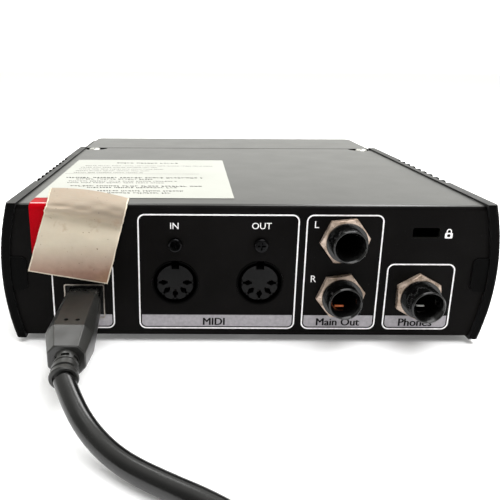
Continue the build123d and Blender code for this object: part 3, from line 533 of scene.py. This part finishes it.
# ---- mesh helpers -----------------------------------------------------------------------
def mesh_piece(name, points, faces, slot, look=None, body=CHASSIS, smooth_angle=35):
    mesh = bpy.data.meshes.new(name)
    mesh.from_pydata([tuple(p) for p in points], [], faces)
    clean = bmesh.new()
    clean.from_mesh(mesh)
    bmesh.ops.recalc_face_normals(clean, faces=clean.faces)
    clean.to_mesh(mesh)
    clean.free()
    mesh.set_sharp_from_angle(angle=math.radians(smooth_angle))
    for face in mesh.polygons:
        face.use_smooth = True
    obj = bpy.data.objects.new(name, mesh)
    bpy.context.scene.collection.objects.link(obj)
    obj.data.materials.append(look or MATERIALS[slot])
    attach(obj, body)
    return obj


def skin(loops, closed=True, caps=True):
    """Points and faces over loops of equal length, one after another."""
    size = len(loops[0])
    points = [p for loop in loops for p in loop]
    faces = []
    for i in range(len(loops) - 1):
        for j in range(size if closed else size - 1):
            k = (j + 1) % size
            faces.append((i * size + j, i * size + k, (i + 1) * size + k, (i + 1) * size + j))
    if caps:
        faces.append(tuple(range(size)))
        faces.append(tuple((len(loops) - 1) * size + j for j in range(size)))
    return points, faces


def axes_along(direction):
    """Two directions square to this one."""
    forward = Vector(direction).normalized()
    side = forward.cross(Vector((0, 0, 1)))
    if side.length < 0.01:
        side = forward.cross(Vector((0, 1, 0)))
    side.normalize()
    return forward, side, side.cross(forward)


def lathe_loops(profile, start, direction, steps=48):
    """Rings for a turned shape, from (distance along, radius) pairs."""
    forward, side, up = axes_along(direction)
    loops = []
    for along, radius in profile:
        ring = []
        for i in range(steps):
            turn = 2 * math.pi * i / steps
            out = side * math.cos(turn) + up * math.sin(turn)
            ring.append(start + forward * along + out * radius)
        loops.append(ring)
    return loops


SQUARE = 1e-5            # the radius of a corner that is meant to be square


def rounded_outline(x0, x1, z0, z1, radius, arc_steps=8, square_top=False):
    """Corners of a rounded rectangle as (x, z), with square upper corners if asked."""
    corners = [(x1, z1, 0), (x0, z1, 90), (x0, z0, 180), (x1, z0, 270)]
    outline = []
    for x, z, start in corners:
        r = SQUARE if square_top and z == z1 else radius
        cx = x - r if x == x1 else x + r
        cz = z - r if z == z1 else z + r
        for step in range(arc_steps + 1):
            angle = math.radians(start + 90 * step / arc_steps)
            outline.append((cx + r * math.cos(angle), cz + r * math.sin(angle)))
    return outline


# ---- print on the rear panel ------------------------------------------------------------
INK = 0.00003            # how far print stands off the paint
LINE = 0.00040           # the frames' line width
FRAME_CORNER = 0.0021
FRAME_LOW = 0.00445
BAND_GAP = 0.0004        # between a frame's line and its label band
BAND_TOP = 0.0090
TALL_FRAME, LOW_FRAME = 0.0406, 0.0257
# name: x of both sides, top, the label in its band and its letters' height
FRAMES = {
    "usb": (0.0402, 0.0586, LOW_FRAME, "USB", 0.0024),
    "midi": (-0.0141, 0.0328, TALL_FRAME, "MIDI", 0.0025),
    "main": (-0.0385, -0.0161, TALL_FRAME, "Main Out", 0.0025),
    "phones": (-0.0608, -0.0407, LOW_FRAME, "Phones", 0.0026),
}
WORD_SHIFT = {"midi": 0.0009}   # words that stand off the middle of their band
FONT_CAP = 0.729         # the font's capital height at size 1
BOLD = 0.00010           # the bands' words are printed twice, this far to either side


def on_rear(outline, lift):
    return [(x, REAR + lift, z) for x, z in outline]


def printed_frame(name, x0, x1, z1):
    outer = rounded_outline(x0, x1, FRAME_LOW, z1, FRAME_CORNER)
    inner = rounded_outline(
        x0 + LINE, x1 - LINE, FRAME_LOW + LINE, z1 - LINE, FRAME_CORNER - LINE
    )
    loops = [on_rear(outer, 0.0), on_rear(outer, INK), on_rear(inner, INK), on_rear(inner, 0.0)]
    points, faces = skin(loops, caps=False)
    size = len(outer)
    faces += [(j, 3 * size + j, 3 * size + (j + 1) % size, (j + 1) % size) for j in range(size)]
    mesh_piece(f"{name}_frame_print", points, faces, "cover_paint", PRINT_WHITE)


def printed_band(name, x0, x1):
    inset = LINE + BAND_GAP
    outline = rounded_outline(
        x0 + inset, x1 - inset, FRAME_LOW + inset, BAND_TOP, FRAME_CORNER - inset,
        square_top=True,
    )
    points, faces = skin([on_rear(outline, 0.0), on_rear(outline, INK)])
    mesh_piece(f"{name}_band_print", points, faces, "cover_paint", PRINT_GREY)


def lettering(name, words, at, cap_height, look, facing=1, lift=INK):
    """Plain generic legends, as thin raised print that faces the rear (+1) or the front (-1)."""
    data = bpy.data.curves.new(name, "FONT")
    data.body = words
    data.size = 1.0
    data.extrude = 0.5
    data.resolution_u = 3
    source = bpy.data.objects.new(name + "_source", data)
    bpy.context.scene.collection.objects.link(source)
    bpy.context.view_layer.update()
    shaped = bpy.data.meshes.new_from_object(source)
    bpy.data.objects.remove(source)
    xs = [v.co.x for v in shaped.vertices]
    cap = cap_height / FONT_CAP
    centre = (min(xs) + max(xs)) / 2
    for v in shaped.vertices:
        x = -facing * (v.co.x - centre) * cap
        z = v.co.y * cap - cap_height / 2
        y = facing * (lift if v.co.z > 0 else 0.0)
        v.co = (at[0] + x, at[1] + y, at[2] + z)
    shaped.name = name
    obj = bpy.data.objects.new(name, shaped)
    bpy.context.scene.collection.objects.link(obj)
    obj.data.materials.clear()
    obj.data.materials.append(look)
    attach(obj, CHASSIS)
    return obj


def print_rear_panel():
    for name, (x0, x1, top, words, height) in FRAMES.items():
        printed_frame(name, x0, x1, top)
        printed_band(name, x0, x1)
        band_z = (FRAME_LOW + BAND_TOP + LINE) / 2
        for side, shift in (("a", -BOLD), ("b", BOLD)):
            place = ((x0 + x1) / 2 + WORD_SHIFT.get(name, 0.0) + shift, REAR + INK, band_z)
            lettering(f"{name}_words_{side}_print", words, place, height, PRINT_DARK)
    legends = {
        "in_print": ("IN", 0.0221, 0.0371, 0.0020),
        "out_print": ("OUT", -0.0032, 0.0372, 0.0020),
        "left_print": ("L", -0.0191, 0.0377, 0.0022),
        "right_print": ("R", -0.0191, 0.0209, 0.0022),
    }
    for name, (words, x, z, height) in legends.items():
        lettering(name, words, (x, REAR, z), height, PRINT_WHITE)


def padlock_print():
    """A generic padlock beside the security slot."""
    x, z = -0.0575, 0.0346
    body = rounded_outline(x - 0.0011, x + 0.0011, z - 0.0010, z + 0.0007, 0.0003, 4)
    hole = rounded_outline(x - 0.0005, x + 0.0005, z - 0.0006, z + 0.0003, 0.00035, 4)
    loops = [on_rear(body, 0.0), on_rear(body, INK), on_rear(hole, INK), on_rear(hole, 0.0)]
    points, faces = skin(loops, caps=False)
    mesh_piece("padlock_body_print", points, faces, "cover_paint", PRINT_WHITE)
    arcs = []
    for wide, high in ((0.00075, 0.0008), (0.00047, 0.0005)):
        arc = [(x + wide, z + 0.0006)]
        for step in range(17):
            angle = math.radians(180 * step / 16)
            arc.append((x + wide * math.cos(angle), z + 0.0011 + high * math.sin(angle)))
        arcs.append([*arc, (x - wide, z + 0.0006)])
    outer, inner = arcs
    loops = [on_rear(inner, 0.0), on_rear(inner, INK), on_rear(outer, INK), on_rear(outer, 0.0)]
    points, faces = skin(loops, closed=False, caps=False)
    mesh_piece("padlock_shackle_print", points, faces, "cover_paint", PRINT_WHITE)


print_rear_panel()
padlock_print()


# ---- masking tape -----------------------------------------------------------------------
# The tape's two long edges, from its top end down: x, distance behind the panel, z
TAPE_LEFT = [
    (0.0594, -0.0083, 0.0462), (0.0585, -0.0006, 0.0445), (0.0584, 0.0016, 0.0433),
    (0.0588, 0.0023, 0.0424), (0.0594, 0.0010, 0.0406), (0.0607, 0.0027, 0.0357),
    (0.0626, 0.0025, 0.0302), (0.0650, 0.0012, 0.0234),
]
TAPE_RIGHT = [
    (0.0356, -0.0056, 0.0437), (0.0355, -0.0009, 0.0434), (0.0358, 0.0014, 0.0417),
    (0.0364, 0.0016, 0.0393), (0.0372, 0.0004, 0.0366), (0.0381, 0.0024, 0.0330),
    (0.0397, 0.0022, 0.0268), (0.0419, 0.0009, 0.0193),
]
TAPE_THICK = 0.00022
TAPE_GRID = (64, 84)


def along_edge(edge, v):
    """A smooth way through an edge's points, with v from 0 to 1."""
    place = v * (len(edge) - 1)
    i = min(int(place), len(edge) - 2)
    share = place - i
    four = [Vector(edge[max(0, min(len(edge) - 1, j))]) for j in (i - 1, i, i + 1, i + 2)]
    slope_in, slope_out = (four[2] - four[0]) / 2, (four[3] - four[1]) / 2
    cube, square = share**3, share**2
    return (
        four[1] * (2 * cube - 3 * square + 1) + slope_in * (cube - 2 * square + share)
        + four[2] * (3 * square - 2 * cube) + slope_out * (cube - square)
    )


def tape_point(u, v):
    """u runs across the tape from its high-x edge, v down its length."""
    place = behind(along_edge(TAPE_LEFT, v) * (1 - u) + along_edge(TAPE_RIGHT, v) * u)
    ripple = 0.00010 * math.sin(17 * u + 29 * v) + 0.00007 * math.sin(41 * v - 9 * u * u)
    arch = 0.0009 * math.sin(math.pi * u) * math.exp(-((v / 0.16) ** 2))
    return place + Vector((0.00004 * math.sin(50 * v) * (2 * u - 1), ripple, arch + ripple * 0.4))


def make_tape():
    across, down = TAPE_GRID
    rows = [
        [tape_point(i / across, j / down) for i in range(across + 1)] for j in range(down + 1)
    ]
    points, faces = skin(rows, closed=False, caps=False)
    tape = mesh_piece("creased_tape", points, faces, "tape_crepe", smooth_angle=80)
    tape.data.materials.append(TAPE_EDGE)
    for i, face in enumerate(tape.data.polygons):
        on_edge = i % across in (0, across - 1) or i >= across * (down - 1)
        face.material_index = 1 if on_edge else 0
    thick = tape.modifiers.new("thickness", "SOLIDIFY")
    thick.thickness = TAPE_THICK
    thick.offset = 0
    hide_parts("masking_tape")


make_tape()


# ---- paper label and red sticker --------------------------------------------------------
# Rows of print that can't be read: distance from the rear edge, start and end across the
# label from its high-x side, letters' height, and whether the ink is dark
LABEL_ROWS = [
    (0.0656, 0.285, 0.683, 0.0017, True),
    (0.0592, 0.09, 0.92, 0.0009, False),
    (0.0558, 0.07, 0.56, 0.0009, False),
    (0.0524, 0.07, 0.60, 0.0009, False),
    (0.0490, 0.06, 0.52, 0.0009, False),
    (0.0456, 0.06, 0.48, 0.0009, False),
    (0.0370, 0.05, 0.843, 0.0016, True),
    (0.0344, 0.117, 0.555, 0.0013, True),
    (0.0310, 0.085, 0.70, 0.0011, False),
    (0.0284, 0.085, 0.62, 0.0011, False),
    (0.0237, 0.123, 0.827, 0.0015, True),
    (0.0214, 0.22, 0.71, 0.0013, True),
    (0.0168, 0.29, 0.735, 0.0013, True),
    (0.0140, 0.35, 0.67, 0.0013, True),
]
LABEL_RULE = (0.0432, 0.01, 0.83)
RULE_WIDTH = 0.00018
LOWER_CASE = 0.68        # a small letter's height against a capital's
STROKE = 0.26            # a stroke's width against the letter's height
LABEL_INK_LIFT = 0.00002
COVER_BEND = 0.0015      # outer radius of the cover's bend
FOLD_INSET = 0.0002      # the painted highlight line ends this far inside the sticker's sides


def flat_strip(points, faces, x0, x1, y0, y1, z, lean=0.0):
    """One more flat four-sided stroke; its end at y1 is shifted by lean."""
    first = len(points)
    points += [(x0, y0, z), (x1, y0, z), (x1 + lean, y1, z), (x0 + lean, y1, z)]
    faces.append((first, first + 1, first + 2, first + 3))


def label_rows(low, high, dark):
    """Every row in one ink, as small strokes grouped into words."""
    draw = random.Random(7 if dark else 11)
    points, faces = [], []
    z = high.z + LABEL_INK_LIFT
    span = high.x - low.x
    for back, start, end, height, is_dark in LABEL_ROWS:
        if is_dark != dark:
            continue
        x = high.x - start * span
        y = REAR - back
        stroke = height * STROKE
        letters = 0
        while x > high.x - end * span:
            wide = height * draw.uniform(0.35, 0.75)
            tall = height * draw.choice((LOWER_CASE, LOWER_CASE, 0.72, 1.0))
            flat_strip(points, faces, x - stroke, x, y + tall, y, z, stroke)
            if draw.random() < 0.75:
                left, upper = x - wide, y + LOWER_CASE * height
                flat_strip(points, faces, left, left + stroke, upper, y, z, stroke)
            level = y + height * draw.choice((0.02, 0.34, 0.6))
            flat_strip(points, faces, x - wide, x, level + stroke, level, z)
            x -= wide + height * 0.28
            letters += 1
            if letters > draw.choice((3, 5, 6, 8)):
                x -= height * 0.55
                letters = 0
    return points, faces


def make_label_print():
    low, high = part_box("paper_label")
    for name, dark, look in (("dark", True, LABEL_INK), ("pale", False, LABEL_INK_PALE)):
        points, faces = label_rows(low, high, dark)
        if not dark:
            back, start, end = LABEL_RULE
            span = high.x - low.x
            x0, x1 = high.x - end * span, high.x - start * span
            y = REAR - back
            flat_strip(points, faces, x0, x1, y, y - RULE_WIDTH, high.z + LABEL_INK_LIFT)
        mesh_piece(f"label_print_{name}", points, faces, "label_paper", look)


make_label_print()


def sticker_fold():
    """The pale line where the sticker turns over the cover's rear edge: a painted highlight on
    the bend.
    """
    low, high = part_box("red_sticker")
    bend = COVER_BEND + high.z - TOP + LABEL_INK_LIFT
    rows = []
    for degrees in (66, 72, 78, 84):
        turn = math.radians(degrees)
        y = REAR - COVER_BEND + bend * math.cos(turn)
        z = TOP - COVER_BEND + bend * math.sin(turn)
        rows.append([(low.x + FOLD_INSET, y, z), (high.x - FOLD_INSET, y, z)])
    points, faces = skin(rows, closed=False, caps=False)
    mesh_piece("sticker_fold_highlight", points, faces, "sticker_red", STICKER_HIGHLIGHT)


sticker_fold()


# ---- contact leaves just inside two jacks -----------------------------------------------
# name: x of both ends, z, look
LEAVES = {
    "main_right_leaf": (-0.0278, -0.0252, 0.01325, "leaf_copper_glint"),
    "phones_leaf": (-0.0516, -0.0493, 0.01340, "leaf_white_glint"),
}
# Painted highlights: the leaf in the right main jack is partly copper's own colour, brightened to
# a glowing orange, and the one in the phones jack is near-white. Both stand in for the glints
# inside the jacks' mouths.
LEAF_LOOKS = {
    "leaf_copper_glint": metal("leaf_copper_glint", (0.95, 0.22, 0.06), 0.35, metallic=0.2),
    "leaf_white_glint": metal("leaf_white_glint", (0.95, 0.95, 0.93), 0.35, metallic=0.2),
}
LEAF_BEHIND, LEAF_DEEP, LEAF_THICK = 0.0030, 0.0006, 0.00045


def contact_leaf(name, x0, x1, z, look):
    loops = []
    for back in (LEAF_BEHIND, LEAF_BEHIND - LEAF_DEEP):
        corners = ((x0, z), (x1, z), (x1, z + LEAF_THICK), (x0, z + LEAF_THICK))
        loops.append([Vector((x, REAR + back, level)) for x, level in corners])
    points, faces = skin(loops)
    leaf = mesh_piece(name, points, faces, "contact_metal", LEAF_LOOKS[look])
    round_edges(leaf, 0.00008, 2)


for leaf_name, leaf_row in LEAVES.items():
    contact_leaf(leaf_name, *leaf_row)


# ---- USB plug ---------------------------------------------------------------------------
# Sections of the moulding: distance behind the panel, centre x, centre z, width, height and
# the width of its flat top
PLUG_SECTIONS = [
    (0.0030, 0.0492, 0.0134, 0.0102, 0.0082, 0.0074),
    (0.0033, 0.0492, 0.0134, 0.0108, 0.0088, 0.0078),
    (0.0238, 0.04835, 0.0129, 0.0124, 0.0100, 0.0079),
    (0.0312, 0.0475, 0.01235, 0.0095, 0.0078, 0.0059),
    (0.0315, 0.0475, 0.01235, 0.0089, 0.0072, 0.0055),
]
PLUG_CORNER = 0.00035    # how far the moulding's long edges are rounded off
PLUG_PITS = 0.0015       # half the distance between the two pits
PLUG_PIT_R = 0.0006
PLUG_PIT_DEEP = 0.0009   # below the flat top
PLUG_PIT_BACK = 0.0029   # nearer the panel than the crease
PLUG_PIT_SHIFT = -0.0002  # off the middle line
RELIEF_START = (0.0475, 0.0315, 0.0122)
SLOT_AT, SLOT_WIDE, SLOT_LONG = 0.0010, 0.0020, 0.0008   # the relief's slots, near the plug


def plug_section(back, x, z, wide, high, flat):
    """A rectangle with broad bevels, its eight corners rounded off."""
    side = high * 0.5
    right = [(flat / 2, high / 2), (wide / 2, side / 2)]
    half = right + [(a, -b) for a, b in reversed(right)]
    corners = [Vector(c) for c in half + [(-a, b) for a, b in reversed(half)]]
    outline = []
    for i, corner in enumerate(corners):
        before = corner + (corners[i - 1] - corner).normalized() * PLUG_CORNER
        after = corner + (corners[(i + 1) % 8] - corner).normalized() * PLUG_CORNER
        for share in (0.0, 0.33, 0.67, 1.0):
            one, other = before.lerp(corner, share), corner.lerp(after, share)
            outline.append(one.lerp(other, share))
    return [Vector((x + p.x, REAR + back, z + p.y)) for p in outline]


def make_plug_body():
    points, faces = skin([plug_section(*s) for s in PLUG_SECTIONS])
    body = mesh_piece("usb_plug_moulding", points, faces, "plug_pvc", body=CABLE)
    crease = PLUG_SECTIONS[2]
    top = crease[2] + crease[4] / 2
    for side in (-1, 1):
        x = crease[1] + PLUG_PIT_SHIFT + side * PLUG_PITS
        at = Vector((x, REAR + crease[0] - PLUG_PIT_BACK, top - PLUG_PIT_DEEP))
        profile = [(0, PLUG_PIT_R), (0.002, PLUG_PIT_R)]
        points, faces = skin(lathe_loops(profile, at, (0, 0, 1), 20))
        cutter = mesh_piece(f"pit_cutter_{side}", points, faces, "plug_pvc", body=CABLE)
        pit = body.modifiers.new("pit", "BOOLEAN")
        pit.object = cutter
        pit.solver = "EXACT"
    apply_modifiers(body, 12)
    for side in (-1, 1):
        bpy.data.objects.remove(bpy.data.objects[f"pit_cutter_{side}"])
    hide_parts("usb_plug_body")
    return body


def apply_modifiers(obj, smooth_angle):
    bpy.context.view_layer.update()
    graph = bpy.context.evaluated_depsgraph_get()
    baked = bpy.data.meshes.new_from_object(obj.evaluated_get(graph))
    baked.set_sharp_from_angle(angle=math.radians(smooth_angle))
    obj.modifiers.clear()
    obj.data = baked


def make_relief():
    """The ribbed boot: slotted near the plug, with a thick collar where the cord comes out."""
    start, end = behind(RELIEF_START), behind(LEAD[0])
    length = (end - start).length
    profile = [
        (-0.0012, 0.0031), (0.0018, 0.0031), (0.0020, 0.0029), (0.0026, 0.0029),
        (0.0028, 0.0033), (0.0040, 0.0034), (0.0042, 0.0030), (0.0046, 0.0030),
        (0.0048, 0.0034), (length - 0.0003, 0.0036), (length, 0.0034), (length, 0.0027),
        (length - 0.0010, 0.00262),
    ]
    points, faces = skin(lathe_loops(profile, start, end - start, 64))
    boot = mesh_piece("usb_relief_boot", points, faces, "plug_pvc", body=CABLE)
    forward, side, up = axes_along(end - start)
    cutters = []
    for step in range(6):
        turn = math.radians(60 * step + 30)
        out = side * math.cos(turn) + up * math.sin(turn)
        across = forward.cross(out)
        loops = []
        for reach in (0.0025, 0.0040):
            middle = start + forward * SLOT_AT + out * reach
            half_wide, half_long = across * SLOT_WIDE / 2, forward * SLOT_LONG / 2
            corners = ((-1, -1), (1, -1), (1, 1), (-1, 1))
            loops.append([middle + half_wide * a + half_long * b for a, b in corners])
        points, faces = skin(loops)
        cutter = mesh_piece(f"slot_cutter_{step}", points, faces, "plug_pvc", body=CABLE)
        cut = boot.modifiers.new("slot", "BOOLEAN")
        cut.object = cutter
        cut.solver = "EXACT"
        cutters.append(cutter)
    apply_modifiers(boot, 35)
    for cutter in cutters:
        bpy.data.objects.remove(cutter)
    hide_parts("usb_plug_relief")
    return boot


plug = make_plug_body()
boot = make_relief()


# ---- coil tie ---------------------------------------------------------------------------
TIE_AT = 0.028           # from the coil's centre to the middle of its turns
TIE_HIGH = 0.0117


def make_tie():
    """A hook-and-loop strap round the coil's turns."""
    half = 0.0064 + CORD_R + TIE_THICK
    near, far = TIE_AT - half, TIE_AT + half
    angle = math.radians(TIE_ANGLE)
    radial = Vector((math.cos(angle), math.sin(angle), 0))
    along = Vector((-math.sin(angle), math.cos(angle), 0))
    outer = rounded_outline(near, far, 0.0, TIE_HIGH, 0.0030, 10)
    inner = rounded_outline(
        near + TIE_THICK, far - TIE_THICK, TIE_THICK, TIE_HIGH - TIE_THICK, 0.0024, 10
    )
    wide = TIE_WIDE / 2
    loops = []
    for outline, offset in ((outer, -wide), (outer, wide), (inner, wide), (inner, -wide)):
        start = COIL_AT + along * offset
        loops.append([start + radial * r + Vector((0, 0, z)) for r, z in outline])
    points, faces = skin(loops + [loops[0]], caps=False)
    tie = mesh_piece("hook_and_loop_tie", points, faces, "tie_nylon", body=CABLE)
    weld = tie.modifiers.new("weld", "WELD")
    weld.merge_threshold = WELD
    round_edges(tie, 0.00015, 2)
    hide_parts("coil_tie")
    return tie


tie = make_tie()


# ---- floor and light --------------------------------------------------------------------
FLOOR_HALF = 6.0
FLOOR_DROP = 0.00005     # just under the feet


def make_floor():
    mesh = bpy.data.meshes.new("floor")
    corners = ((-1, -1), (1, -1), (1, 1), (-1, 1))
    points = [(FLOOR_HALF * x, FLOOR_HALF * y, 0) for x, y in corners]
    mesh.from_pydata(points, [], [(0, 1, 2, 3)])
    floor = bpy.data.objects.new("floor", mesh)
    bpy.context.scene.collection.objects.link(floor)
    look = material("floor", (0.93, 0.93, 0.94), 0.7, specular=0.2)
    shader = look.node_tree.nodes["Principled BSDF"]
    # lit a little from below, as on a light table
    shader.inputs["Emission Color"].default_value = (1, 1, 1, 1)
    shader.inputs["Emission Strength"].default_value = 0.12
    floor.data.materials.append(look)
    floor.location.z = -FLOOR_DROP


def area_light(name, at, aim, size, watts):
    data = bpy.data.lights.new(name, "AREA")
    data.shape = "RECTANGLE"
    data.size, data.size_y = size
    data.energy = watts
    lamp = bpy.data.objects.new(name, data)
    bpy.context.scene.collection.objects.link(lamp)
    lamp.location = at
    lamp.rotation_euler = (Vector(aim) - Vector(at)).to_track_quat("-Z", "Y").to_euler()


def make_world():
    """A pale room, brighter beyond the controls' side and above than behind the camera."""
    world = bpy.data.worlds.new("room")
    bpy.context.scene.world = world
    world.use_nodes = True
    nodes, links = world.node_tree.nodes, world.node_tree.links
    coords = nodes.new("ShaderNodeTexCoord")
    parts = nodes.new("ShaderNodeSeparateXYZ")
    spread = nodes.new("ShaderNodeMapRange")
    spread.interpolation_type = "SMOOTHSTEP"
    numbers = {"From Min": -0.30, "From Max": 0.55, "To Min": 1.38, "To Max": 0.30}
    for name, value in numbers.items():
        spread.inputs[name].default_value = value
    links.new(coords.outputs["Generated"], parts.inputs["Vector"])
    links.new(parts.outputs["Y"], spread.inputs["Value"])
    background = nodes["Background"]
    background.inputs["Color"].default_value = (1, 1, 0.95, 1)
    links.new(spread.outputs["Result"], background.inputs["Strength"])


make_floor()
make_world()
bpy.context.scene.view_settings.view_transform = "Standard"
area_light("overhead", (-0.12, 0.33, 0.80), (0, 0.08, 0), (0.7, 0.6), 6.0)
for strip_x in (-0.38, -0.25, -0.08):
    area_light("strip", (strip_x, 0.02, 0.80), (strip_x, 0.02, 0), (0.05, 0.16), 0.7)
area_light("side_bar", (-0.45, -0.35, 0.80), (0, -0.35, 0.04), (0.9, 0.33), 7.5)
area_light("beyond", (0.27, -0.47, 0.80), (0.04, 0.10, 0.02), (0.25, 0.25), 1.5)
